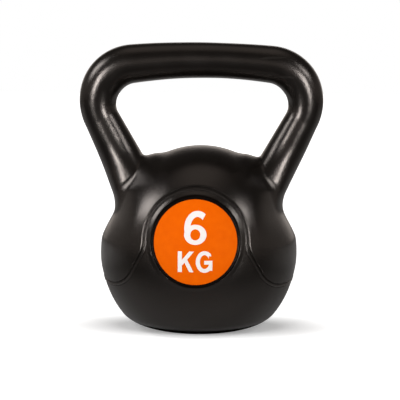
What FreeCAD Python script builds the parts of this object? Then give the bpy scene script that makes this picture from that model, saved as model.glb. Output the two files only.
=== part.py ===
import FreeCAD, Part
import math
import os

# A cement-filled kettlebell: one blow-moulded shell whose hollow handle grows
# out of a round body, a cast filling, a plug that closes the base, and a round
# self-adhesive label in a recess on each side.
# Millimetres, +Z up. The label with the printed weight faces -Y, the base
# stands on z = 0 and the handle lies in the plane y = 0.

# Body: a turned form, a ball below its widest level and an egg above it.
BODY_RADIUS = 86.0
WAIST_Z = 64.5
DOME_HEIGHT = 94.0
FOOT_BEND = 10.0
WALL = 2.5

# Handle: a crowned grip, two corner bends and two legs that widen downwards.
GRIP_RADIUS = 15.5
GRIP_Z = 233.2
CROWN_RADIUS = 540.0
BEND_RADIUS = 32.0
BEND_X = 58.9
LEG_ANGLE = 26.8
LEG_LENGTH = 84.0
LEG_ROOT_RADIUS = 19.5
NECK_FILLET = 4.0
VALLEY_FILLET = 22.0

# Hood: the upper part of the moulding stands proud of the bowl below it. Its
# edge runs round the label as an arch, then flares out to a level hem, and a
# pair of grooves with a bead between them follows it all the way.
HOOD_STEP = 0.7
ARCH_Z = 86.7
ARCH_RADIUS = 44.8
FLARE_ANGLE = 28.0
FLARE_BEND = 24.5
HEM_Z = 44.5
EDGE_GROOVE = 1.3
EDGE_GROOVE_DEPTH = 0.9
BEAD = 1.2
BEAD_GROOVE = 0.9
BEAD_GROOVE_DEPTH = 0.6

# Bezel: a raised ring between the arch and the label recess.
BEZEL_RADIUS = ARCH_RADIUS - EDGE_GROOVE - BEAD - BEAD_GROOVE

# Label and its recess.
RECESS_RADIUS = 37.2
RECESS_DEPTH = 1.0
LABEL_Z = 86.2
LABEL_RADIUS = 34.5
LABEL = 0.5
ADHESIVE_RADIUS = 34.0
ADHESIVE = 0.2
INK = 0.1

# Printed weight: a tall figure above two letters, their sizes on the label.
FIGURE_LOW = 85.1
FIGURE_HALF_WIDTH = 9.2
FIGURE_HALF_HEIGHT = 13.4
FIGURE_BOWL = 8.0
FIGURE_STROKE = 5.1
FIGURE_LEAN = 1.7
LETTER_LOW = 62.7
LETTER_HEIGHT = 17.0
LETTER_WIDTH = 13.3
LETTER_STROKE = 3.4
LETTER_GAP = 1.8

# Base: a shallow hollow with the filling hole in its middle.
BASE_WALL = 5.0
BASE_HOLLOW_RADIUS = 42.0
BASE_HOLLOW = 2.0
HOLE_RADIUS = 17.0
SEAT_RADIUS = 22.0
SEAT_DEPTH = 1.4

# Plug: a shallow cap with a hollow spigot and a snap rim above the base wall.
PLUG_HEAD = 1.4
PLUG_TOP_Z = 9.5
PLUG_WALL = 2.0
PLUG_PLAY = 0.15
SNAP_RADIUS = 17.5
SNAP_Z = 5.2
SNAP_HEIGHT = 1.6
POCKET_RADIUS = 18.5
POCKET_TOP_Z = 10.5

ORIGIN = FreeCAD.Vector(0, 0, 0)
SIDE = FreeCAD.Vector(1, 0, 0)
FRONT = FreeCAD.Vector(0, -1, 0)
UP = FreeCAD.Vector(0, 0, 1)
REACH = 130.0


def point(x, z):
    """A point in the plane of the handle."""
    return FreeCAD.Vector(x, 0, z)


def on_circle(centre, radius, degrees):
    angle = math.radians(degrees)
    return point(centre.x + radius * math.cos(angle), centre.z + radius * math.sin(angle))


def arc(centre, radius, start, end):
    """The edge of a circle from one angle to another, in degrees."""
    middle = on_circle(centre, radius, (start + end) / 2)
    return Part.Arc(on_circle(centre, radius, start), middle, on_circle(centre, radius, end)).toShape()


def body_form(grow, floor_z=0.0):
    """The turned body, grown outwards by the given amount and flat at floor_z."""
    radius = BODY_RADIUS + grow
    centre = point(0, WAIST_Z)
    side = point(radius, WAIST_Z)
    top = point(0, WAIST_Z + DOME_HEIGHT + grow)
    drop = WAIST_Z - floor_z - FOOT_BEND
    bend_centre = point(math.sqrt((radius - FOOT_BEND) ** 2 - drop ** 2), floor_z + FOOT_BEND)
    lean = math.degrees(math.atan2(-drop, bend_centre.x))
    edges = [
        Part.makeLine(point(0, floor_z), point(bend_centre.x, floor_z)),
        arc(bend_centre, FOOT_BEND, -90, lean),
        arc(centre, radius, lean, 0),
        Part.Arc(Part.Ellipse(top, side, centre), 0, math.pi / 2).toShape(),
        Part.makeLine(top, point(0, floor_z)),
    ]
    outline = Part.Wire(Part.__sortEdges__(edges))
    return Part.Face(outline).revolve(ORIGIN, UP, 360)


def skin(inner, outer):
    """The layer of the body form between two amounts of growth."""
    return body_form(outer).cut(body_form(inner))


def handle_form(shrink):
    """The handle as one bent rod, thinned all round by the given amount."""
    crown_centre = point(0, GRIP_Z - CROWN_RADIUS)
    rise = math.sqrt((CROWN_RADIUS - BEND_RADIUS) ** 2 - BEND_X ** 2)
    bend_centre = point(BEND_X, crown_centre.z + rise)
    lean = math.degrees(math.atan2(rise, BEND_X))
    crown = arc(crown_centre, CROWN_RADIUS, 90, lean)
    bend = arc(bend_centre, BEND_RADIUS, lean, -LEG_ANGLE)
    section = Part.Wire(Part.makeCircle(GRIP_RADIUS - shrink, point(0, GRIP_Z), SIDE))
    grip = Part.Wire([crown, bend]).makePipeShell([section], True, False)
    angle = math.radians(LEG_ANGLE)
    down = FreeCAD.Vector(-math.sin(angle), 0, -math.cos(angle))
    leg_top = on_circle(bend_centre, BEND_RADIUS, -LEG_ANGLE)
    leg = Part.makeCone(GRIP_RADIUS - shrink, LEG_ROOT_RADIUS - shrink, LEG_LENGTH, leg_top, down)
    return mirrored(grip.fuse(leg), SIDE)


def mirrored(shape, direction):
    """The shape fused with its mirror image."""
    return shape.fuse(shape.mirror(ORIGIN, direction)).removeSplitter()


def is_leg_root(edge):
    """True for the curve where a leg enters the body, from neck to valley."""
    if len(edge.Vertexes) < 2:
        return False
    low, high = sorted((vertex.Point for vertex in edge.Vertexes), key=lambda end: end.z)
    level = abs(low.y) < 0.01 and abs(high.y) < 0.01
    return level and 90 < low.z < high.z and 20 < high.x < 60 < low.x


def outer_form():
    """Body and handle in one, a soft valley inside each leg, a tight neck outside."""
    quarter = Part.makeBox(REACH, REACH, 2 * REACH)
    body = body_form(HOOD_STEP).common(quarter)
    joined = body.fuse(handle_form(0).common(quarter)).removeSplitter()
    root = [edge for edge in joined.Edges if is_leg_root(edge)][0]
    radii = [NECK_FILLET, VALLEY_FILLET]
    if root.firstVertex().Point.z > root.lastVertex().Point.z:
        radii.reverse()
    joined = joined.makeFillet(radii[0], radii[1], [root])
    return mirrored(mirrored(joined, SIDE), UP.cross(SIDE))


def below_hood(inset):
    """The block under the hood's edge, its outline moved inwards by the inset."""
    arch_centre = point(0, ARCH_Z)
    arch_radius = ARCH_RADIUS - inset
    bend = FLARE_BEND + inset
    flare_centre = point(ARCH_RADIUS + FLARE_BEND, ARCH_Z)
    slide = (ARCH_Z - HEM_Z - FLARE_BEND) * math.tan(math.radians(FLARE_ANGLE))
    hem_centre = point(flare_centre.x + slide, HEM_Z + FLARE_BEND)
    turned = 180 + FLARE_ANGLE
    far = point(REACH, hem_centre.z - bend)
    right = [
        arc(arch_centre, arch_radius, 90, 0),
        arc(flare_centre, bend, 180, turned),
        Part.makeLine(on_circle(flare_centre, bend, turned), on_circle(hem_centre, bend, turned)),
        arc(hem_centre, bend, turned, 270),
        Part.makeLine(on_circle(hem_centre, bend, 270), far),
        Part.makeLine(far, point(REACH, -REACH)),
        Part.makeLine(point(REACH, -REACH), point(0, -REACH)),
    ]
    left = [edge.mirror(ORIGIN, SIDE) for edge in right]
    return through(Part.Face(Part.Wire(Part.__sortEdges__(right + left))))


def through(face):
    """A face of the handle's plane, drawn out far to the front and the back."""
    return face.translated(-REACH * FRONT).extrude(2 * REACH * FRONT)


def disc(radius, z):
    """A round bar from front to back, its middle at height z."""
    return Part.makeCylinder(radius, 2 * REACH, FreeCAD.Vector(0, REACH, z), FRONT)


def ring(outer, inner, z):
    return disc(outer, z).cut(disc(inner, z))


def half_space(front):
    """Everything in front of the handle's plane, or everything behind it."""
    corner = FreeCAD.Vector(-REACH, -REACH if front else 0, -REACH)
    return Part.makeBox(2 * REACH, REACH, 4 * REACH, corner)


def groove(inset, width, depth):
    """The cutter for a groove that follows the hood's edge at the given inset."""
    band = below_hood(inset).cut(below_hood(inset + width))
    return skin(-depth, HOOD_STEP + 2).common(band)


def filling_form():
    """The room inside the shell, which the filling takes up completely."""
    return body_form(HOOD_STEP - WALL, BASE_WALL).fuse(handle_form(WALL)).removeSplitter()


def base_bore(radius, low, high):
    """A round cutter or boss on the axis of the base between two levels."""
    return Part.makeCylinder(radius, high - low, point(0, low))


def shell():
    """The blow-moulded shell with hood edge, bezels, recesses and filling hole."""
    shape = outer_form()
    shape = shape.cut(skin(0, HOOD_STEP + 2).common(below_hood(0)))
    bezel = ring(BEZEL_RADIUS, RECESS_RADIUS - 1, ARCH_Z).common(skin(-1, HOOD_STEP))
    shape = shape.fuse(bezel)
    shape = shape.cut(groove(0, EDGE_GROOVE, EDGE_GROOVE_DEPTH))
    shape = shape.cut(groove(EDGE_GROOVE + BEAD, BEAD_GROOVE, BEAD_GROOVE_DEPTH))
    shape = shape.cut(skin(-RECESS_DEPTH, HOOD_STEP + 2).common(disc(RECESS_RADIUS, ARCH_Z)))
    shape = shape.cut(filling_form())
    shape = shape.cut(base_bore(BASE_HOLLOW_RADIUS, -1, BASE_HOLLOW))
    shape = shape.cut(base_bore(SEAT_RADIUS, 0, BASE_HOLLOW + SEAT_DEPTH))
    return shape.cut(base_bore(HOLE_RADIUS, 0, BASE_WALL + 1))


def fill():
    """The cast filling, hollowed above the plug."""
    return filling_form().cut(base_bore(POCKET_RADIUS, 0, POCKET_TOP_Z))


def fill_plug():
    """The cap in the filling hole, held by a snap rim above the base wall."""
    head_z = BASE_HOLLOW + SEAT_DEPTH
    head = base_bore(SEAT_RADIUS - PLUG_PLAY, head_z - PLUG_HEAD, head_z)
    spigot = base_bore(HOLE_RADIUS - PLUG_PLAY, head_z, PLUG_TOP_Z)
    snap = base_bore(SNAP_RADIUS, SNAP_Z, SNAP_Z + SNAP_HEIGHT)
    snap = snap.makeChamfer(0.4, [snap.Edges[0], snap.Edges[2]])
    hollow = base_bore(HOLE_RADIUS - PLUG_PLAY - PLUG_WALL, head_z, PLUG_TOP_Z)
    return head.fuse(spigot).fuse(snap).cut(hollow).removeSplitter()


def label_layer(radius, low, high, front):
    """One round sheet of the label between two levels above the body form."""
    return skin(low, high).common(disc(radius, LABEL_Z)).common(half_space(front))


def adhesive(front):
    return label_layer(ADHESIVE_RADIUS, -RECESS_DEPTH, ADHESIVE - RECESS_DEPTH, front)


def label(front):
    low = ADHESIVE - RECESS_DEPTH
    return label_layer(LABEL_RADIUS, low, low + LABEL, front)


def oval(x, z, half_width, half_height):
    """An upright oval bar from front to back."""
    ends = [point(x + half_width, z), point(x, z + half_height)]
    if half_height > half_width:
        ends.reverse()
    outline = Part.Ellipse(ends[0], ends[1], point(x, z))
    return through(Part.Face(Part.Wire(outline.toShape())))


def oval_ring(x, z, half_width, half_height, sides, ends):
    """An oval's outline, with the stroke's width at its sides and at its ends."""
    hole = oval(x, z, half_width - sides, half_height - ends)
    return oval(x, z, half_width, half_height).cut(hole)


def block(left, right, low, high):
    """A square-edged bar from front to back."""
    return Part.makeBox(right - left, 2 * REACH, high - low, FreeCAD.Vector(left, -REACH, low))


def slanted_block(start, end, width):
    """A bar from front to back whose section runs aslant between two points."""
    along = (end - start).normalize()
    across = along.cross(FRONT) * (width / 2)
    corners = [start + across, end + across, end - across, start - across, start + across]
    return through(Part.Face(Part.makePolygon(corners)))


def figure_six():
    """A wide arc down the left side, cut off aslant at its top right, and a bowl."""
    middle = FIGURE_LOW + FIGURE_HALF_HEIGHT
    bowl = FIGURE_LOW + FIGURE_BOWL
    wide = FIGURE_HALF_WIDTH + FIGURE_LEAN
    back = oval_ring(FIGURE_LEAN, middle, wide, FIGURE_HALF_HEIGHT, FIGURE_STROKE, FIGURE_STROKE - 0.4)
    open_side = [
        point(0, FIGURE_LOW - 1),
        point(0, bowl),
        point(4.5, middle + 4),
        point(9.5, middle + 13),
        point(20, middle + 13),
        point(20, FIGURE_LOW - 1),
        point(0, FIGURE_LOW - 1),
    ]
    back = back.cut(through(Part.Face(Part.makePolygon(open_side))))
    counter = oval(0, bowl, FIGURE_HALF_WIDTH - FIGURE_STROKE, FIGURE_BOWL - FIGURE_STROKE + 1.5)
    return back.fuse(oval(0, bowl, FIGURE_HALF_WIDTH, FIGURE_BOWL)).cut(counter)


def letter_k():
    right = -LETTER_GAP / 2
    left = right - LETTER_WIDTH
    high = LETTER_LOW + LETTER_HEIGHT
    middle = LETTER_LOW + LETTER_HEIGHT / 2
    stem = block(left, left + LETTER_STROKE, LETTER_LOW, high)
    thin = LETTER_STROKE - 0.3
    upper = slanted_block(point(left + 1.8, middle - 2.8), point(right - 0.3, high + 2), thin)
    lower = slanted_block(point(left + 5.8, middle + 2.2), point(right - 1.0, LETTER_LOW - 2), thin)
    arms = upper.fuse(lower).common(block(left, right + 1, LETTER_LOW, high))
    return stem.fuse(arms)


def letter_g():
    """An open oval with a bar, and a short stem down from the bar's end."""
    half_width = LETTER_WIDTH / 2 + 0.6
    half_height = LETTER_HEIGHT / 2 + 0.4
    x = LETTER_GAP / 2 + half_width - 0.3
    z = LETTER_LOW + LETTER_HEIGHT / 2
    right = LETTER_GAP / 2 + LETTER_WIDTH
    stem = right - 2.9
    bow = oval_ring(x, z, half_width, half_height, LETTER_STROKE, LETTER_STROKE - 0.2)
    bow = bow.cut(block(stem, right + 2, z - 7.0, z + 4.6)).cut(block(right - 1.0, right + 2, z, z + 9))
    return bow.fuse(block(stem, right, z - 7.2, z + 1.0)).fuse(block(x - 0.3, right, z - 2.1, z + 1.0))


def weight_marking():
    """The printed weight, six over the letters for kilograms."""
    low = ADHESIVE - RECESS_DEPTH + LABEL
    figures = figure_six().fuse(letter_k()).fuse(letter_g())
    return skin(low, low + INK).common(half_space(True)).common(figures)


def export(parts):
    os.makedirs("parts", exist_ok=True)
    for name, shape in parts.items():
        shape.exportStep("parts/" + name + ".step")


export({
    "shell": shell(),
    "fill": fill(),
    "fill_plug": fill_plug(),
    "front_label_adhesive": adhesive(True),
    "front_label": label(True),
    "weight_marking": weight_marking(),
    "back_label_adhesive": adhesive(False),
    "back_label": label(False),
})
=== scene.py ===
import math
import bpy
import numpy as np
import openvdb
from mathutils import Matrix, Vector


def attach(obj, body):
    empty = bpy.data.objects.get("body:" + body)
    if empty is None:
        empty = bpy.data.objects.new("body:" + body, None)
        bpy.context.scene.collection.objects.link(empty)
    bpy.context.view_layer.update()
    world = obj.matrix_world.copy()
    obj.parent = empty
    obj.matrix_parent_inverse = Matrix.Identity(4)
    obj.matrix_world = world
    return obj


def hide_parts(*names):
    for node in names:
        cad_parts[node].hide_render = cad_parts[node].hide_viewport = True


# A cement-filled kettlebell. Lengths are in millimetres unless a comment says
# metres; make_mesh turns millimetres into metres.

# Body: a ball below its widest level and an egg above it.
BODY_RADIUS = 86.7
WAIST_Z = 64.5
DOME_HEIGHT = 94.7
FOOT_ROUNDING = 13.0
FOOT_DROP = 0.8

# Shoulders: under each leg the body's flank falls in from a soft corner.
SHOULDER_Z = 78.5
SHOULDER_SLOPE = 0.262
SHOULDER_DEPTH = 5.0
SHOULDER_SOFTNESS = 3.0
SHOULDER_BOTTOM_KNEE = 1.5
SHOULDER_TOP_KNEE = 2.0
SHOULDER_TOP_END = 0.5
SHOULDER_TOP_Z = 104
SHOULDER_SECTOR = (0.62, 0.95)

# Handle: the centre line is a crown, two bends and two straight legs.
GRIP_Z = 233.5
CROWN_RADIUS = 538.0
BEND_RADIUS = 33.6
BEND_X = 57.1
LEG_ANGLE = 26.9
LEG_LENGTH = 80.0
HANDLE_OFFSET = 1.9
LEG_DIFFERENCE = 0.4
LEG_DIFFERENCE_REACH = 40
GRIP_RADIUS = 15.3
CORNER_RADIUS = 16.7
SWELL_START_SHARE = 0.2
CORNER_SHARE = 0.35
LEG_TOP_RADIUS = 15.1
LEG_ROOT_RADIUS = 19.6
DEPTH_START = 32.0
DEPTH_SLOPE = 0.23
DEPTH_SOFTNESS = 12.0
LEG_SQUARENESS = 0.9
SQUARENESS_REACH = 35
VALLEY_BLEND = 22.0
NECK_BLEND = 5.5
VALLEY_SPAN = (38, 58)
OFFSET_SPAN = (100, 160)

# Hood edge: an arch over the label that flares out to a level hem, followed
# inwards by a groove, a bead and a second groove.
ARCH_Z = 86.7
ARCH_RADIUS = 44.8
FLARE_ANGLE = 28.0
FLARE_BEND = 24.5
HEM_Z = 44.5
EDGE_ROLL = 0.7
EDGE_REACH = 1.0
EDGE_GROOVE = 1.5
EDGE_GROOVE_DEPTH = 1.05
BEAD = 1.5
BEAD_HEIGHT = 0.50
BEAD_GROOVE = 0.9
BEAD_GROOVE_DEPTH = 0.55

# Levels of the surface, counted outwards from the hood.
BOWL_LEVEL = -0.7
BEZEL_CREST = -0.3
RECESS_LEVEL = -1.7
HEM_FALL = 0.5
HEM_REACH = 16
HEM_SPAN = (50, 70)

# Bezel, recess and label.
BEZEL_RADIUS = 41.2
BEZEL_CREST_RADIUS = 37.6
RECESS_RADIUS = 37.2
BEZEL_FOOT_RADIUS = BEZEL_RADIUS + 0.3
RECESS_FLOOR_RADIUS = RECESS_RADIUS - 0.15
LABEL_Z = 86.2
LABEL_RADIUS = 34.5
LABEL_LEVEL = -1.5
LABEL_THICKNESS = 0.5
LABEL_SIDES = 144
LABEL_RINGS = 12

# Seam left by the two mould halves, all round in the handle's plane.
SEAM_WIDTH = 0.9
SEAM_HEIGHT = 0.12

# Underside: foot_side counts only below FOOT_REACH_Z.
HOLLOW_RADIUS = 42.0
HOLLOW_DEPTH = 2.0
HOLLOW_WALL = 0.5
SEAT_RADIUS = 22.1
SEAT_DEPTH = 1.5
SEAT_WALL = 0.1
FOOT_REACH_Z = 0.5
OUT_OF_REACH = 200

# Mesh: the spacing of its points, how many spacings deep the distances are kept,
# the rounds that even the points out, and the spacings of the lines cut along the
# hood's edge and the bezel.
VOXEL = 2.0
BAND = 3.0
EVENING_ROUNDS = 6
CUT = 0.3
FINE_CUT = 0.11
BROAD_CUT = 0.78
SNAP = 0.05
SLOPE_STEP = 0.02
MESH_LOW = (-112.0, -92.0, -6.0)
MESH_HIGH = (112.0, 92.0, 256.0)
MILLIMETRE = 0.001

# Cement inside the moulding.
CORE_VOXEL = 4.0
CORE_DEPTH = 3.2
CORE_FLOOR = 5.2

# Vinyl: its gloss, and where it fades at the foot, under it and in the recesses, in metres. The
# fades are painted shade: the foot's outer rim loses its gloss as a dark contact line, and the
# recess wall round the label keeps a tenth of it.
VINYL_GLOSS = 0.8
RECESS_SHADE_GLOSS_SHARE = 0.1
FOOT_SHADE_FADE = (0.0075, 0.0100)
UNDERSIDE_SHADE_FADE = (0.046, 0.050)
RECESS_SHADE_FADE = (0.0374, 0.0379)

# Floor: half its width and its height in millimetres. In metres, the distances over which its unseen
# grey falls off and grows behind, and its glow eases. The glow is painted light seen by the eye
# alone. It is dimmed in an oval about the kettlebell: a painted shadow that sets where the real
# shadow shows.
FLOOR_HALF = 4000.0
FLOOR_Z = -0.1
FLOOR_FAR = (0.09, 0.24)
FLOOR_BEHIND = (-0.12, 0.30)
GLOW_NEAR = 0.22
GLOW_MIDDLE = 0.90
GLOW_FAR = 1.2
GLOW_SPAN = (0.20, 0.90)
SHADOW_SPAN = (0.07, 0.14)
SHADOW_SQUASH = 2.6
SHADOW_FORWARD = 0.012

# Camera, in metres and degrees.
CAMERA_AIM = (0.0009, 0, 0.1108)
CAMERA_DISTANCE = 1.1
CAMERA_DIP = 7.8
CAMERA_TURN = 2.0
CAMERA_LEAN = 0.25
CAMERA_LENS = 112.2

# Lamps, in metres: name, shape, place, width, height and watts.
LIGHT_AIM = (0, 0, 0.12)
LAMPS = (
    ("left_softbox", "ELLIPSE", (-1.03, -0.19, 0.89), 0.50, 0.60, 4.6),
    ("right_softbox", "ELLIPSE", (0.92, -0.475, 0.82), 0.34, 0.38, 2.3),
    ("left_strip", "RECTANGLE", (-0.80, -1.26, 0.38), 0.28, 0.60, 11.0),
    ("right_strip", "RECTANGLE", (0.80, -1.26, 0.38), 0.28, 0.60, 11.0),
)

# Sky: the strength of each of its parts, and the upward share of the direction
# over which it fades, or for WORLD_BEHIND the backward share. WORLD_HIGH_SHARE
# is what the wall behind keeps of its strength high up.
WORLD_TINT = (1.0, 0.90, 0.83)
WORLD_RING = 0.24
WORLD_FRONT = 0.04
WORLD_TOP = 0.34
WORLD_BACK = 0.9
WORLD_RING_FADE = (0.22, 0.50)
WORLD_TOP_FADE = (0.85, 1.00)
WORLD_BEHIND = (0.72, 1.00)
WORLD_LOW = (0.05, 0.55)
WORLD_HIGH_SHARE = 0.15


# ---------------------------------------------------------------- the surface

def smooth_step(value, low, high):
    t = np.clip((value - low) / (high - low), 0, 1)
    return t * t * (3 - 2 * t)


def soft_min(a, b, softness):
    h = np.clip(0.5 + 0.5 * (b - a) / softness, 0, 1)
    return b + (a - b) * h - softness * h * (1 - h)


def soft_max(a, b, softness):
    return -soft_min(-a, -b, softness)


def egg_distance(p, radius, height):
    """Distance to the turned body, negative inside."""
    z = p[:, 2] - WAIST_Z
    tall = np.where(z > 0, height, radius)
    rho = np.hypot(p[:, 0], p[:, 1])
    k0 = np.hypot(rho / radius, z / tall)
    k1 = np.hypot(rho / radius ** 2, z / tall ** 2)
    return k0 * (k0 - 1) / np.maximum(k1, 1e-6)


def shoulder_depth(p):
    """How far the flank under a leg lies inside the turned body."""
    rise = SHOULDER_SLOPE * (p[:, 2] - SHOULDER_Z)
    fall = SHOULDER_DEPTH - SHOULDER_SLOPE * (p[:, 2] - SHOULDER_TOP_Z)
    depth = soft_min(rise, SHOULDER_DEPTH, SHOULDER_BOTTOM_KNEE)
    depth = soft_max(depth, 0, SHOULDER_SLOPE * SHOULDER_SOFTNESS)
    depth = soft_max(soft_min(depth, fall, SHOULDER_TOP_KNEE), 0, SHOULDER_TOP_END)
    rho = np.maximum(np.hypot(p[:, 0], p[:, 1]), 1)
    return depth * smooth_step(np.abs(p[:, 0]) / rho, *SHOULDER_SECTOR)


def body_distance(p):
    """Distance to the body on its round-edged foot, which reaches just below the floor."""
    body = egg_distance(p, BODY_RADIUS, DOME_HEIGHT) + shoulder_depth(p)
    height = p[:, 2] + FOOT_DROP
    a = np.maximum(body + FOOT_ROUNDING, 0)
    b = np.maximum(FOOT_ROUNDING - height, 0)
    return np.minimum(-FOOT_ROUNDING, np.maximum(body, -height)) + np.hypot(a, b)


def handle_line():
    """The centre line's fixed points: crown centre, bend centre and the angle between."""
    crown_z = GRIP_Z - CROWN_RADIUS
    rise = math.sqrt((CROWN_RADIUS - BEND_RADIUS) ** 2 - BEND_X ** 2)
    return crown_z, crown_z + rise, math.atan2(rise, BEND_X)


def handle_distance(p):
    """Distance to the handle, negative inside."""
    x = np.abs(p[:, 0])
    z = p[:, 2]
    crown_z, bend_z, lean = handle_line()
    turn = math.radians(LEG_ANGLE)
    crown_length = CROWN_RADIUS * (math.pi / 2 - lean)
    bend_length = BEND_RADIUS * (lean + turn)
    angle = np.clip(np.arctan2(z - crown_z, x), lean, math.pi / 2)
    across = x - CROWN_RADIUS * np.cos(angle)
    crown = np.hypot(across, z - crown_z - CROWN_RADIUS * np.sin(angle))
    along = [CROWN_RADIUS * (math.pi / 2 - angle)]
    angle = np.clip(np.arctan2(z - bend_z, x - BEND_X), -turn, lean)
    across = x - BEND_X - BEND_RADIUS * np.cos(angle)
    bend = np.hypot(across, z - bend_z - BEND_RADIUS * np.sin(angle))
    along.append(crown_length + BEND_RADIUS * (lean - angle))
    start_x = BEND_X + BEND_RADIUS * math.cos(turn)
    start_z = bend_z - BEND_RADIUS * math.sin(turn)
    down = np.clip((start_x - x) * math.sin(turn) + (start_z - z) * math.cos(turn), 0, LEG_LENGTH)
    leg = np.hypot(x - start_x + down * math.sin(turn), z - start_z + down * math.cos(turn))
    along.append(crown_length + bend_length + down)
    distances = np.stack([crown, bend, leg])
    nearest = np.argmin(distances, axis=0)
    rows = np.arange(len(x))
    position = np.stack(along)[nearest, rows]
    wide = handle_radius(position, crown_length, bend_length)
    wide = wide - LEG_DIFFERENCE * np.tanh(p[:, 0] / LEG_DIFFERENCE_REACH)
    below = position - crown_length - bend_length - DEPTH_START
    deep = wide + DEPTH_SLOPE * soft_max(below, 0, DEPTH_SOFTNESS)
    square = 2 + LEG_SQUARENESS * smooth_step(below, 0, SQUARENESS_REACH)
    u = np.maximum(distances[nearest, rows] / wide, 1e-6)
    v = np.maximum(np.abs(p[:, 1]) / deep, 1e-6)
    size = (u ** square + v ** square) ** (1 / square)
    slope = size ** (1 - square) * np.hypot(u ** (square - 1) / wide, v ** (square - 1) / deep)
    return (size - 1) / np.maximum(slope, 1e-6)


def handle_radius(position, crown_length, bend_length):
    """The rod swells at the corners, thins below them and widens to its root."""
    corner = crown_length + CORNER_SHARE * bend_length
    leg_top = crown_length + bend_length
    swell = smooth_step(position, SWELL_START_SHARE * crown_length, corner)
    radius = GRIP_RADIUS + (CORNER_RADIUS - GRIP_RADIUS) * swell
    radius = radius + (LEG_TOP_RADIUS - CORNER_RADIUS) * smooth_step(position, corner, leg_top)
    leg = np.clip(position - leg_top, 0, LEG_LENGTH) / LEG_LENGTH
    return radius + (LEG_ROOT_RADIUS - LEG_TOP_RADIUS) * leg


def surface_distance(p):
    """Distance to the moulding before its grooves: body and handle with a rolled joint."""
    p = p - np.outer(smooth_step(p[:, 2], *OFFSET_SPAN), [HANDLE_OFFSET, 0, 0])
    body = body_distance(p)
    handle = handle_distance(p)
    x = np.abs(p[:, 0])
    blend = NECK_BLEND + (VALLEY_BLEND - NECK_BLEND) * (1 - smooth_step(x, *VALLEY_SPAN))
    a = np.maximum(blend - body, 0)
    b = np.maximum(blend - handle, 0)
    return np.maximum(blend, np.minimum(body, handle)) - np.hypot(a, b)


def surface_normals(p):
    """The outward direction at each point, from the distance's slope."""
    slopes = []
    for axis in range(3):
        offset = np.zeros(3)
        offset[axis] = SLOPE_STEP
        slopes.append(surface_distance(p + offset) - surface_distance(p - offset))
    slopes = np.stack(slopes, axis=1)
    return slopes / np.linalg.norm(slopes, axis=1, keepdims=True)


def onto_surface(p, rounds=4):
    for _ in range(rounds):
        p = p - surface_normals(p) * surface_distance(p)[:, None]
    return p


def surface_mesh(spacing, depth=0.0):
    """A triangle mesh of the smooth moulding, or of a form that lies deeper."""
    low = np.array(MESH_LOW)
    high = np.array(MESH_HIGH)
    counts = [int(n) for n in np.ceil((high - low) / spacing)]
    axes = [low[i] + spacing * np.arange(counts[i]) for i in range(3)]
    corners = np.stack(np.meshgrid(*axes, indexing="ij"), axis=-1).reshape(-1, 3)
    values = (surface_distance(corners) + depth).reshape(counts) / spacing
    grid = openvdb.FloatGrid(BAND)
    grid.copyFromArray(np.clip(values, -BAND, BAND).astype(np.float32))
    points, quads = grid.convertToQuads(isovalue=0.0)
    quads = quads.astype(int)
    points = low + spacing * points.astype(float)
    if depth == 0:
        points = evened(onto_surface(points), quads)
    return points, two_triangles(points, quads)


def evened(points, quads):
    """Evens out the spacing of the points while they stay on the surface."""
    edges = np.concatenate([quads[:, [i, (i + 1) % 4]] for i in range(4)])
    count = np.bincount(edges.ravel(), minlength=len(points))
    for _ in range(EVENING_ROUNDS):
        total = np.zeros_like(points)
        np.add.at(total, edges[:, 0], points[edges[:, 1]])
        np.add.at(total, edges[:, 1], points[edges[:, 0]])
        points = onto_surface(0.5 * (points + total / count[:, None]), 1)
    return onto_surface(points)


def two_triangles(points, quads):
    """Splits each four-sided face along its shorter diagonal."""
    a, b, c, d = quads.T
    along = np.linalg.norm(points[a] - points[c], axis=1)
    across = np.linalg.norm(points[b] - points[d], axis=1)
    short = (along <= across)[:, None]
    first = np.where(short, np.stack([a, b, c], 1), np.stack([a, b, d], 1))
    second = np.where(short, np.stack([a, c, d], 1), np.stack([b, c, d], 1))
    return np.concatenate([first, second])


# ------------------------------------------------- lines cut into the mesh

def cut_along(points, triangles, field, level):
    """Splits the triangles where the field passes through the level."""
    value = field(points) - level
    value[np.abs(value) < SNAP] = 0
    side = np.sign(value)
    corner = side[triangles]
    crossed = (corner.min(1) < 0) & (corner.max(1) > 0)
    whole = triangles[~crossed]
    split = triangles[crossed]
    edges = np.concatenate([split[:, [0, 1]], split[:, [1, 2]], split[:, [2, 0]]])
    ends = np.sort(edges, axis=1)
    passing = side[ends[:, 0]] * side[ends[:, 1]] < 0
    unique, index = np.unique(ends[passing], axis=0, return_inverse=True)
    made = np.full(len(ends), -1)
    made[passing] = len(points) + index.ravel()
    new = crossing_points(points, unique, value, field, level)
    made = made.reshape(3, -1).T
    pieces = [whole]
    for turn in range(3):
        a, b, c = (split[:, (turn + i) % 3] for i in range(3))
        ab, bc, ca = (made[:, (turn + i) % 3] for i in range(3))
        both = (ab >= 0) & (ca >= 0)
        pieces.append(np.stack([a, ab, ca], 1)[both])
        pieces.append(np.stack([ab, b, c], 1)[both])
        pieces.append(np.stack([ab, c, ca], 1)[both])
        one = (bc >= 0) & (ab < 0) & (ca < 0)
        pieces.append(np.stack([a, b, bc], 1)[one])
        pieces.append(np.stack([a, bc, c], 1)[one])
    return np.concatenate([points, new]), np.concatenate(pieces)


def crossing_points(points, ends, value, field, level):
    """Where the level crosses each edge, found by a few false-position steps."""
    low = points[ends[:, 0]]
    high = points[ends[:, 1]]
    at_low = value[ends[:, 0]]
    at_high = value[ends[:, 1]]
    for _ in range(4):
        share = at_low / (at_low - at_high)
        middle = low + (high - low) * share[:, None]
        at_middle = field(middle) - level
        same = np.sign(at_middle) == np.sign(at_low)
        low = np.where(same[:, None], middle, low)
        at_low = np.where(same, at_middle, at_low)
        high = np.where(same[:, None], high, middle)
        at_high = np.where(same, at_high, at_middle)
        gap = np.abs(at_low - at_high) < 1e-9
        at_high = np.where(gap, at_high + 1e-9, at_high)
    return middle


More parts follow.
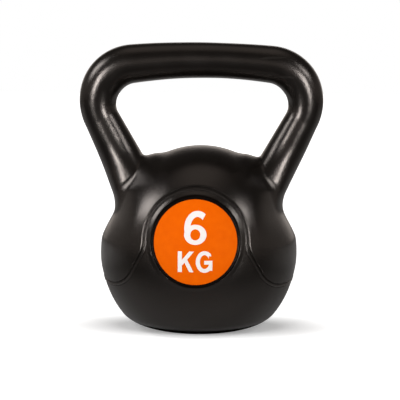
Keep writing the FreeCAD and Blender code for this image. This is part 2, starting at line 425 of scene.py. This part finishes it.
def hood_side(p):
    """Distance from the hood's edge seen from the front, negative below the hood."""
    x = np.abs(p[:, 0])
    z = p[:, 2]
    turn = math.radians(FLARE_ANGLE)
    flare_x = ARCH_RADIUS + FLARE_BEND
    hem_z = HEM_Z + FLARE_BEND
    slide = ARCH_Z - hem_z
    hem_x = flare_x + slide * math.tan(turn)
    flare = np.array([math.cos(turn), math.sin(turn)])
    along = (x - flare_x) * flare[1] - (z - ARCH_Z) * flare[0]
    straight = (x - flare_x) * flare[0] + (z - ARCH_Z) * flare[1] + FLARE_BEND
    result = np.where(along < 0, FLARE_BEND - np.hypot(x - flare_x, z - ARCH_Z), straight)
    length = slide / math.cos(turn)
    result = np.where(along > length, FLARE_BEND - np.hypot(x - hem_x, z - hem_z), result)
    result = np.where((x > hem_x) & (z < hem_z), z - HEM_Z, result)
    result = np.where((x > hem_x) & (z >= hem_z), FLARE_BEND, result)
    return np.where(z > ARCH_Z, np.hypot(x, z - ARCH_Z) - ARCH_RADIUS, result)


def label_side(p):
    """Distance from the label recess's axis, seen from the front."""
    return np.hypot(p[:, 0], p[:, 2] - ARCH_Z)


def seam_side(p):
    return p[:, 1]


def foot_side(p):
    """Distance from the upright axis on the underside, and out of reach elsewhere."""
    return np.where(p[:, 2] < FOOT_REACH_Z, np.hypot(p[:, 0], p[:, 1]), OUT_OF_REACH)


# ------------------------------------------------------------------ the relief

def bump(value, middle, half_width):
    """A rounded hill one unit high."""
    t = np.clip((value - middle) / half_width, -1, 1)
    return (1 - t * t) ** 2


def edge_relief(side, z):
    """The hood's rolled edge, then groove, bead and groove, down to the bowl."""
    groove = -EDGE_GROOVE / 2
    bead = -EDGE_GROOVE - BEAD / 2
    bead_groove = -EDGE_GROOVE - BEAD - BEAD_GROOVE / 2
    level = BOWL_LEVEL * (1 - smooth_step(side, -EDGE_GROOVE, EDGE_ROLL))
    level = level - EDGE_GROOVE_DEPTH * bump(side, groove, EDGE_GROOVE / 2)
    level = level + BEAD_HEIGHT * bump(side, bead, BEAD / 2)
    level = level - BEAD_GROOVE_DEPTH * bump(side, bead_groove, BEAD_GROOVE / 2)
    hem = (1 - smooth_step(side, 0, HEM_REACH)) * (1 - smooth_step(z, *HEM_SPAN))
    return level - HEM_FALL * hem * (side > 0)


def bezel_relief(radius):
    """The bezel's crest, steep inwards to the recess and easier outwards."""
    inner = smooth_step(radius, RECESS_FLOOR_RADIUS, BEZEL_CREST_RADIUS)
    outer = 1 - smooth_step(radius, BEZEL_CREST_RADIUS, BEZEL_FOOT_RADIUS)
    inside = RECESS_LEVEL + (BEZEL_CREST - RECESS_LEVEL) * inner
    outside = BOWL_LEVEL + (BEZEL_CREST - BOWL_LEVEL) * outer
    return np.where(radius < BEZEL_CREST_RADIUS, inside, outside)


def relief(p):
    """How far the finished surface lies above the smooth moulding."""
    side = hood_side(p)
    radius = label_side(p)
    level = np.where(radius < BEZEL_RADIUS, bezel_relief(radius), edge_relief(side, p[:, 2]))
    return level + SEAM_HEIGHT * bump(p[:, 1], 0, SEAM_WIDTH / 2)


def foot_relief(p):
    """How far the underside is hollowed, with the plug's seat in its middle."""
    rho = foot_side(p)
    in_hollow = 1 - smooth_step(rho, HOLLOW_RADIUS - HOLLOW_WALL, HOLLOW_RADIUS + HOLLOW_WALL)
    in_seat = 1 - smooth_step(rho, SEAT_RADIUS - SEAT_WALL, SEAT_RADIUS + SEAT_WALL)
    return HOLLOW_DEPTH * in_hollow + SEAT_DEPTH * in_seat


def levels(low, high, step):
    return [low + step * i for i in range(int(round((high - low) / step)) + 1)]


def finished_normals(points, normals, level):
    """The smooth moulding's normals, tilted by the slopes of the relief."""
    slope = np.zeros_like(points)
    for axis in range(3):
        shift = np.zeros(3)
        shift[axis] = SLOPE_STEP
        slope[:, axis] = (level(points + shift) - level(points - shift)) / (2 * SLOPE_STEP)
    slope = slope - normals * (slope * normals).sum(1)[:, None]
    tilted = normals - slope
    return tilted / np.linalg.norm(tilted, axis=1)[:, None]


def whole_relief(p):
    return relief(p) - foot_relief(p)


def moulding():
    """Points, triangles and normals of the finished moulding, in millimetres."""
    points, triangles = surface_mesh(VOXEL)
    edge = EDGE_GROOVE + BEAD + BEAD_GROOVE
    cuts = [
        (hood_side, levels(-edge, EDGE_REACH, CUT)),
        (label_side, levels(RECESS_FLOOR_RADIUS, BEZEL_CREST_RADIUS, FINE_CUT)),
        (label_side, levels(BEZEL_CREST_RADIUS, BEZEL_FOOT_RADIUS, BROAD_CUT)),
        (seam_side, levels(-SEAM_WIDTH / 2, SEAM_WIDTH / 2, SEAM_WIDTH / 4)),
        (foot_side, levels(HOLLOW_RADIUS - HOLLOW_WALL, HOLLOW_RADIUS + HOLLOW_WALL, CUT)),
        (foot_side, [SEAT_RADIUS - SEAT_WALL, SEAT_RADIUS + SEAT_WALL]),
    ]
    for field, lines in cuts:
        for level in lines:
            points, triangles = cut_along(points, triangles, field, level)
    normals = surface_normals(points)
    tilted = finished_normals(points, normals, whole_relief)
    points = points + normals * whole_relief(points)[:, None]
    points[:, 2] = np.maximum(points[:, 2], 0)
    return points, triangles, tilted


# ------------------------------------------------------------------ the labels

def label_disc(side):
    """Points and faces of one label: side -1 is the front and 1 the back."""
    top = LABEL_LEVEL + LABEL_THICKNESS
    rings = [(LABEL_RADIUS * i / LABEL_RINGS, top) for i in range(1, LABEL_RINGS)]
    rings += [(LABEL_RADIUS - 0.45, top), (LABEL_RADIUS - 0.18, top - 0.05)]
    rings += [(LABEL_RADIUS - 0.03, top - 0.18), (LABEL_RADIUS, LABEL_LEVEL)]
    rings += [(LABEL_RADIUS * i / 6, LABEL_LEVEL) for i in range(5, 0, -1)]
    count = LABEL_SIDES
    points = [(0, LABEL_Z, top)]
    for radius, level in rings:
        for i in range(count):
            angle = 2 * math.pi * i / count
            points.append((radius * math.cos(angle), LABEL_Z + radius * math.sin(angle), level))
    points.append((0, LABEL_Z, LABEL_LEVEL))
    last = len(points) - 1
    faces = []
    for i in range(count):
        j = (i + 1) % count
        faces.append((0, 1 + i, 1 + j))
        faces.append((last, last - count + j, last - count + i))
        for ring in range(len(rings) - 1):
            start = 1 + ring * count
            faces.append((start + i, start + count + i, start + count + j, start + j))
    if side > 0:
        faces = [face[::-1] for face in faces]
    return on_body(np.array(points), side), faces


def on_body(places, side):
    """Places (x, z, level) moved to where the body's front or back has that level."""
    near = np.full(len(places), 20.0)
    far = np.full(len(places), 95.0)
    for _ in range(40):
        middle = (near + far) / 2
        p = np.stack([places[:, 0], side * middle, places[:, 1]], axis=1)
        outside = egg_distance(p, BODY_RADIUS, DOME_HEIGHT) + shoulder_depth(p) > places[:, 2]
        near = np.where(outside, near, middle)
        far = np.where(outside, middle, far)
    return p


# --------------------------------------------------------------- the materials

class Nodes:
    """A material's nodes, with a short way to add one and link it."""

    def __init__(self, name):
        self.material = bpy.data.materials.new(name)
        self.material.use_nodes = True
        self.tree = self.material.node_tree
        self.shader = self.tree.nodes["Principled BSDF"]
        self.place = self.add("ShaderNodeTexCoord").outputs["Object"]

    def add(self, kind, **settings):
        node = self.tree.nodes.new(kind)
        for name, value in settings.items():
            setattr(node, name, value)
        return node

    def feed(self, socket, value):
        """Links an output to a socket, or sets the socket to a plain value."""
        if isinstance(value, bpy.types.NodeSocket):
            self.tree.links.new(value, socket)
        else:
            socket.default_value = value

    def noise(self, scale, detail=2.0, stretch=(1, 1, 1), shift=(0, 0, 0)):
        """Cloudy values about 0.5. The scale is in lumps per metre."""
        mapping = self.add("ShaderNodeMapping")
        self.feed(mapping.inputs["Vector"], self.place)
        mapping.inputs["Scale"].default_value = stretch
        mapping.inputs["Location"].default_value = shift
        node = self.add("ShaderNodeTexNoise")
        self.feed(node.inputs["Vector"], mapping.outputs["Vector"])
        node.inputs["Scale"].default_value = scale
        node.inputs["Detail"].default_value = detail
        return node.outputs["Fac"]

    def mapped(self, value, low, high, to_low, to_high):
        node = self.add("ShaderNodeMapRange")
        self.feed(node.inputs["Value"], value)
        node.inputs["From Min"].default_value = low
        node.inputs["From Max"].default_value = high
        node.inputs["To Min"].default_value = to_low
        node.inputs["To Max"].default_value = to_high
        return node.outputs["Result"]

    def maths(self, operation, a, b):
        node = self.add("ShaderNodeMath", operation=operation)
        self.feed(node.inputs[0], a)
        self.feed(node.inputs[1], b)
        return node.outputs["Value"]

    def parts(self):
        """The place's X, Y and Z."""
        node = self.add("ShaderNodeSeparateXYZ")
        self.feed(node.inputs["Vector"], self.place)
        return node.outputs

    def scaled_place(self, scale, shift):
        """The place multiplied axis by axis, then moved."""
        node = self.add("ShaderNodeVectorMath", operation="MULTIPLY_ADD")
        self.feed(node.inputs[0], self.place)
        node.inputs[1].default_value = scale
        node.inputs[2].default_value = shift
        return node.outputs["Vector"]

    def length(self, vector):
        node = self.add("ShaderNodeVectorMath", operation="LENGTH")
        self.feed(node.inputs[0], vector)
        return node.outputs["Value"]

    def mixed(self, share, colour, other):
        node = self.add("ShaderNodeMix", data_type="RGBA")
        self.feed(node.inputs["Factor"], share)
        self.feed(node.inputs["A"], colour)
        self.feed(node.inputs["B"], other)
        return node.outputs["Result"]

    def specks(self, scale, size, share):
        """One where a small round speck lies: share is how many cells have one."""
        node = self.add("ShaderNodeTexVoronoi")
        self.feed(node.inputs["Vector"], self.place)
        node.inputs["Scale"].default_value = scale
        apart = self.add("ShaderNodeSeparateColor")
        self.feed(apart.inputs["Color"], node.outputs["Color"])
        chosen = self.maths("LESS_THAN", apart.outputs["Red"], share)
        near = self.mapped(node.outputs["Distance"], size, size * 0.6, 0.0, 1.0)
        return self.maths("MULTIPLY", chosen, near)

    def bumps(self, *layers):
        """Chains bump nodes. Each layer is a height from 0 to 1 and its depth in metres."""
        normal = None
        for height, depth in layers:
            node = self.add("ShaderNodeBump")
            node.inputs["Distance"].default_value = depth
            self.feed(node.inputs["Height"], height)
            if normal is not None:
                self.feed(node.inputs["Normal"], normal)
            normal = node.outputs["Normal"]
        self.feed(self.shader.inputs["Normal"], normal)


def rgb(red, green, blue):
    return (red, green, blue, 1.0)


def black_vinyl():
    """Satin black plastic with a fine grain, scuffs and pale specks; painted shade takes the gloss
    off the foot's rim and the recess wall.
    """
    m = Nodes("black_vinyl")
    clouds = m.mapped(m.noise(28.0, 3.0), 0.35, 0.65, 0, 1)
    colour = m.mixed(clouds, rgb(0.0034, 0.0027, 0.0023), rgb(0.0050, 0.0040, 0.0033))
    scuffs = m.mapped(m.noise(90.0, 2.0, (0.25, 0.25, 3.0), (3, 1, 7)), 0.70, 0.76, 0, 0.5)
    colour = m.mixed(scuffs, colour, rgb(0.020, 0.018, 0.016))
    specks = m.specks(60.0, 0.020, 0.006)
    colour = m.mixed(specks, colour, rgb(0.45, 0.44, 0.42))
    m.feed(m.shader.inputs["Base Color"], colour)
    rough = m.mapped(m.noise(45.0, 4.0, (1, 1, 1), (5, 2, 1)), 0.3, 0.7, 0.21, 0.27)
    m.feed(m.shader.inputs["Roughness"], rough)
    m.shader.inputs["IOR"].default_value = 1.50
    # Painted shade: the foot's outer rim, just above the floor, loses its gloss and shows as a dark
    # contact line.
    above_foot = m.mapped(m.parts()["Z"], *FOOT_SHADE_FADE, 0, VINYL_GLOSS)
    from_axis = m.length(m.scaled_place((1, 1, 0), (0, 0, 0)))
    under_foot = m.mapped(from_axis, *UNDERSIDE_SHADE_FADE, VINYL_GLOSS, 0)
    # Painted shade: the recess wall round the label keeps only a tenth of the gloss, so it stays
    # dark.
    from_label = m.length(m.scaled_place((1, 0, 1), (0, 0, -MILLIMETRE * ARCH_Z)))
    outside_recess = m.mapped(from_label, *RECESS_SHADE_FADE, RECESS_SHADE_GLOSS_SHARE, 1)
    gloss = m.maths("MULTIPLY", m.maths("MAXIMUM", above_foot, under_foot), outside_recess)
    m.feed(m.shader.inputs["Specular IOR Level"], gloss)
    m.shader.inputs["Specular Tint"].default_value = rgb(1.0, 0.90, 0.84)
    waves = m.noise(38.0, 1.0, (1, 1, 1), (2, 4, 6))
    grain = m.noise(850.0, 2.0)
    fine_grain = m.noise(2400.0, 2.0)
    m.bumps((waves, 0.0004), (grain, 0.00010), (fine_grain, 0.00003), (scuffs, 0.00002))
    return m.material


def printed_label(name, colour, worn):
    """Satin printed film: faint mottle in the colour and the gloss."""
    m = Nodes(name)
    mottle = m.mapped(m.noise(160.0, 3.0), 0.3, 0.7, 0, 1)
    tone = m.mixed(mottle, colour, worn)
    m.feed(m.shader.inputs["Base Color"], tone)
    m.feed(m.shader.inputs["Roughness"], m.mapped(m.noise(300.0, 3.0), 0.3, 0.7, 0.55, 0.65))
    m.shader.inputs["Specular IOR Level"].default_value = 0.02
    m.bumps((m.noise(70.0, 1.0), 0.0002), (m.noise(1800.0, 2.0), 0.00001))
    return m.material


def cement():
    """Pale grey cement with sand grains and small pores."""
    m = Nodes("cement_fill")
    sand = m.noise(900.0, 3.0)
    tone = m.mixed(m.mapped(sand, 0.35, 0.65, 0, 1), rgb(0.30, 0.29, 0.27), rgb(0.46, 0.45, 0.42))
    m.feed(m.shader.inputs["Base Color"], tone)
    m.feed(m.shader.inputs["Roughness"], m.mapped(sand, 0.3, 0.7, 0.8, 0.95))
    m.bumps((sand, 0.0004), (m.specks(220.0, 0.3, 0.3), 0.0005))
    return m.material


def adhesive():
    """Cloudy, slightly yellow adhesive film."""
    m = Nodes("label_adhesive")
    clouds = m.noise(120.0, 3.0)
    tone = m.mixed(m.mapped(clouds, 0.35, 0.65, 0, 1), rgb(0.52, 0.50, 0.42), rgb(0.62, 0.60, 0.54))
    m.feed(m.shader.inputs["Base Color"], tone)
    m.feed(m.shader.inputs["Roughness"], m.mapped(clouds, 0.3, 0.7, 0.35, 0.5))
    m.bumps((m.noise(500.0, 2.0), 0.00005))
    return m.material


def plug_plastic():
    """Harder black plastic with fine spark-eroded texture and rubbed spots."""
    m = Nodes("black_plug")
    rubbed = m.mapped(m.noise(120.0, 4.0), 0.5, 0.7, 0, 1)
    tone = m.mixed(rubbed, rgb(0.014, 0.014, 0.014), rgb(0.032, 0.031, 0.030))
    m.feed(m.shader.inputs["Base Color"], tone)
    m.feed(m.shader.inputs["Roughness"], m.mapped(rubbed, 0, 1, 0.5, 0.36))
    m.bumps((m.noise(3000.0, 2.0), 0.00004))
    return m.material


def floor_paint():
    """Plain floor with a trace of unevenness, lit up to white for the eye alone by a painted glow,
    dimmed in an oval round the kettlebell as a painted shadow.
    """
    m = Nodes("floor_paint")
    tone = m.mixed(m.noise(9.0, 2.0), rgb(0.83, 0.83, 0.83), rgb(0.86, 0.86, 0.86))
    seen = m.add("ShaderNodeLightPath").outputs["Is Camera Ray"]
    away = m.length(m.place)
    far = m.mapped(away, *FLOOR_FAR, 0, 1)
    unseen = m.mixed(far, rgb(0.46, 0.46, 0.46), rgb(0.07, 0.07, 0.07))
    behind = m.mapped(m.parts()["Y"], *FLOOR_BEHIND, 0, 1)
    unseen = m.mixed(behind, unseen, rgb(0.80, 0.80, 0.80))
    m.feed(m.shader.inputs["Base Color"], m.mixed(seen, unseen, tone))
    m.feed(m.shader.inputs["Roughness"], m.mapped(m.noise(30.0, 2.0), 0.3, 0.7, 0.75, 0.85))
    m.shader.inputs["Specular IOR Level"].default_value = 0.0
    m.shader.inputs["Emission Color"].default_value = rgb(1, 1, 1)
    # Painted shadow: the glow drops low in an oval round the kettlebell, squashed front to back and
    # set a little forward.
    oval = m.scaled_place((1, SHADOW_SQUASH, 0), (0, SHADOW_SQUASH * SHADOW_FORWARD, 0))
    shade = m.mapped(m.length(oval), *SHADOW_SPAN, GLOW_NEAR, GLOW_MIDDLE)
    open_floor = m.mapped(away, *GLOW_SPAN, 0, GLOW_FAR - GLOW_MIDDLE)
    glow = m.maths("MULTIPLY", seen, m.maths("ADD", shade, open_floor))
    m.feed(m.shader.inputs["Emission Strength"], glow)
    return m.material


# ------------------------------------------------------------------- the pieces

def make_mesh(name, points, faces, material):
    mesh = bpy.data.meshes.new(name)
    mesh.from_pydata((np.asarray(points) * MILLIMETRE).tolist(), [], [tuple(face) for face in faces])
    mesh.materials.append(material)
    mesh.shade_smooth()
    piece = bpy.data.objects.new(name, mesh)
    bpy.context.scene.collection.objects.link(piece)
    return piece


def stand_in(piece, node):
    """Lets a piece take a CAD node's place on the one rigid body."""
    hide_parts(node)
    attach(piece, "root")


def make_skin():
    points, triangles, normals = moulding()
    piece = make_mesh("vinyl_skin", points, triangles.tolist(), black_vinyl())
    piece.data.normals_split_custom_set_from_vertices(normals.tolist())
    stand_in(piece, "shell")


def make_core():
    """The cement inside the moulding, one wall's thickness deep."""
    points, triangles = surface_mesh(CORE_VOXEL, CORE_DEPTH)
    points[:, 2] = np.maximum(points[:, 2], CORE_FLOOR)
    stand_in(make_mesh("cement_core", points, triangles.tolist(), cement()), "fill")


def make_labels():
    film = printed_label("orange_label", rgb(0.81, 0.114, 0.0003), rgb(0.85, 0.130, 0.0006))
    for name, side in (("front_label", -1), ("back_label", 1)):
        points, faces = label_disc(side)
        piece = make_mesh(name + "_film", points, faces, film)
        piece.data.set_sharp_from_angle(angle=math.radians(50))
        stand_in(piece, name)


def dress_frame(frame):
    """Gives the CAD nodes that stay their finished materials."""
    white = printed_label("white_ink", rgb(0.86, 0.81, 0.79), rgb(0.90, 0.85, 0.83))
    finishes = {
        "fill_plug": plug_plastic(),
        "front_label_adhesive": adhesive(),
        "back_label_adhesive": adhesive(),
        "weight_marking": white,
    }
    for name, material in finishes.items():
        for slot in frame["nodes"][name].material_slots:
            slot.material = material


def make_floor():
    ends = ((-1, -1), (1, -1), (1, 1), (-1, 1))
    corners = [(x * FLOOR_HALF, y * FLOOR_HALF, FLOOR_Z) for x, y in ends]
    floor = make_mesh("floor", corners, [(0, 1, 2, 3)], floor_paint())


# ------------------------------------------------------------ light and camera

def soft_light(name, shape, place, width, height, power):
    light = bpy.data.lights.new(name, "AREA")
    light.shape = shape
    light.size = width
    light.size_y = height
    light.energy = power
    lamp = bpy.data.objects.new(name, light)
    lamp.location = place
    lamp.rotation_euler = (Vector(LIGHT_AIM) - Vector(place)).to_track_quat("-Z", "Y").to_euler()
    bpy.context.scene.collection.objects.link(lamp)


def make_world():
    """White to the eye. The light it gives comes from a low ring, the top and a back wall."""
    world = bpy.data.worlds.new("studio")
    bpy.context.scene.world = world
    world.use_nodes = True
    tree = world.node_tree
    tree.nodes.clear()
    place = tree.nodes.new("ShaderNodeTexCoord")
    apart = tree.nodes.new("ShaderNodeSeparateXYZ")
    tree.links.new(place.outputs["Generated"], apart.inputs["Vector"])
    behind = world_step(tree, apart.outputs["Y"], WORLD_BEHIND, 0, WORLD_BACK)
    low = world_step(tree, apart.outputs["Z"], WORLD_LOW, 1, WORLD_HIGH_SHARE)
    ring = world_step(tree, apart.outputs["Z"], WORLD_RING_FADE, WORLD_RING, WORLD_FRONT)
    above = world_step(tree, apart.outputs["Z"], WORLD_TOP_FADE, 0, WORLD_TOP)
    around = tree.nodes.new("ShaderNodeMath")
    tree.links.new(ring, around.inputs[0])
    tree.links.new(above, around.inputs[1])
    wall = tree.nodes.new("ShaderNodeMath")
    wall.operation = "MULTIPLY_ADD"
    tree.links.new(behind, wall.inputs[0])
    tree.links.new(low, wall.inputs[1])
    tree.links.new(around.outputs["Value"], wall.inputs[2])
    given = tree.nodes.new("ShaderNodeBackground")
    tree.links.new(wall.outputs["Value"], given.inputs["Strength"])
    seen = tree.nodes.new("ShaderNodeBackground")
    path = tree.nodes.new("ShaderNodeLightPath")
    mix = tree.nodes.new("ShaderNodeMixShader")
    output = tree.nodes.new("ShaderNodeOutputWorld")
    given.inputs["Color"].default_value = rgb(*WORLD_TINT)
    seen.inputs["Color"].default_value = rgb(1, 1, 1)
    tree.links.new(path.outputs["Is Camera Ray"], mix.inputs["Fac"])
    tree.links.new(given.outputs["Background"], mix.inputs[1])
    tree.links.new(seen.outputs["Background"], mix.inputs[2])
    tree.links.new(mix.outputs["Shader"], output.inputs["Surface"])


def world_step(tree, value, span, start, end):
    """Eases from one value to another over a span of the sky."""
    node = tree.nodes.new("ShaderNodeMapRange")
    node.interpolation_type = "SMOOTHSTEP"
    tree.links.new(value, node.inputs["Value"])
    node.inputs["From Min"].default_value = span[0]
    node.inputs["From Max"].default_value = span[1]
    node.inputs["To Min"].default_value = start
    node.inputs["To Max"].default_value = end
    return node.outputs["Result"]


def make_lights():
    make_world()
    for lamp in LAMPS:
        soft_light(*lamp)


def make_camera():
    """Looks slightly down from a little to the right, leaning a trace to one side."""
    turn = math.radians(CAMERA_TURN)
    dip = math.radians(CAMERA_DIP)
    lean = math.radians(CAMERA_LEAN)
    level = Vector((-math.sin(turn), math.cos(turn), 0))
    forward = level * math.cos(dip) - Vector((0, 0, math.sin(dip)))
    right = Vector((math.cos(turn), math.sin(turn), 0))
    up = right.cross(forward)
    leaning_right = right * math.cos(lean) + up * math.sin(lean)
    leaning_up = up * math.cos(lean) - right * math.sin(lean)
    data = bpy.data.cameras.new("camera")
    data.sensor_width = 36.0
    data.lens = CAMERA_LENS
    camera = bpy.data.objects.new("camera", data)
    columns = Matrix((leaning_right, leaning_up, -forward)).transposed()
    place = Matrix.Translation(Vector(CAMERA_AIM) - forward * CAMERA_DISTANCE)
    camera.matrix_world = place @ columns.to_4x4()
    bpy.context.scene.collection.objects.link(camera)
    bpy.context.scene.camera = camera


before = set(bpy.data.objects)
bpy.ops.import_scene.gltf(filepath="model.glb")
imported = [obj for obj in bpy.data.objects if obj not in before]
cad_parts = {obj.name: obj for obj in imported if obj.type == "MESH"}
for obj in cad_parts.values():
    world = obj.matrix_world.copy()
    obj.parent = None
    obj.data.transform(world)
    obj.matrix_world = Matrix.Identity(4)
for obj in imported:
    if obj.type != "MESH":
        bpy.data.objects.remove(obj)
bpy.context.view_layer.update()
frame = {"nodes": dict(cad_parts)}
make_skin()
make_core()
make_labels()
dress_frame(frame)
make_floor()
make_lights()
make_camera()
bpy.context.scene.view_settings.view_transform = "Standard"
